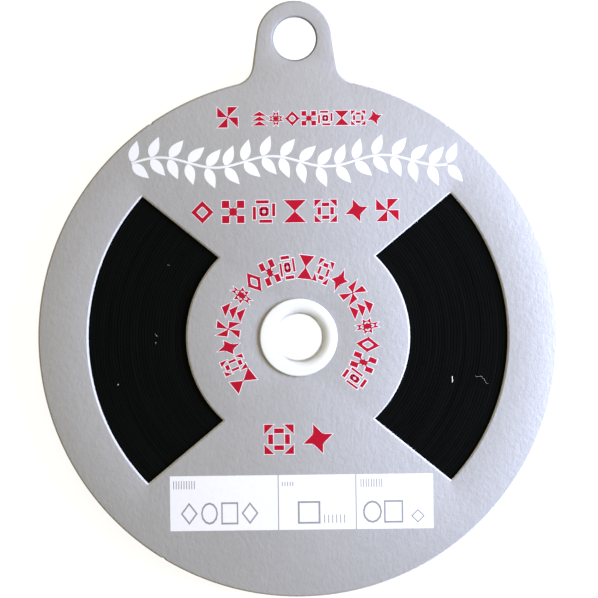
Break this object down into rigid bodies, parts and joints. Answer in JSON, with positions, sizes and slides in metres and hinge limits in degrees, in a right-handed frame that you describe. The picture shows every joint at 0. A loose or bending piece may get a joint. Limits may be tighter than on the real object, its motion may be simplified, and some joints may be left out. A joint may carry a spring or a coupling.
{
  "type": "roll of bias binding on a windowed reel",
  "caption": "Narrow black bias binding wound on edge between two round boards, with sector windows, a hang tab and a flared plastic hub.",
  "frame": {"origin": "on the ground under the middle of the whole outline; the hub's axis is at x 0, y -0.0082", "axes": "+Z out of the windowed front, the reel lying on its back; +Y towards the hang tab; +X to the right of the front"},
  "size_m": [0.11, 0.1264, 0.0084],
  "materials": {
    "silver_board": "satin",
    "plain_board": "matte",
    "black_binding": "matte",
    "white_plastic": "gloss"
  },
  "bodies": {
    "root": {"front_card": "silver_board", "back_card": "plain_board", "tape_roll": "black_binding", "hub": "white_plastic"}
  },
  "joints": []
}
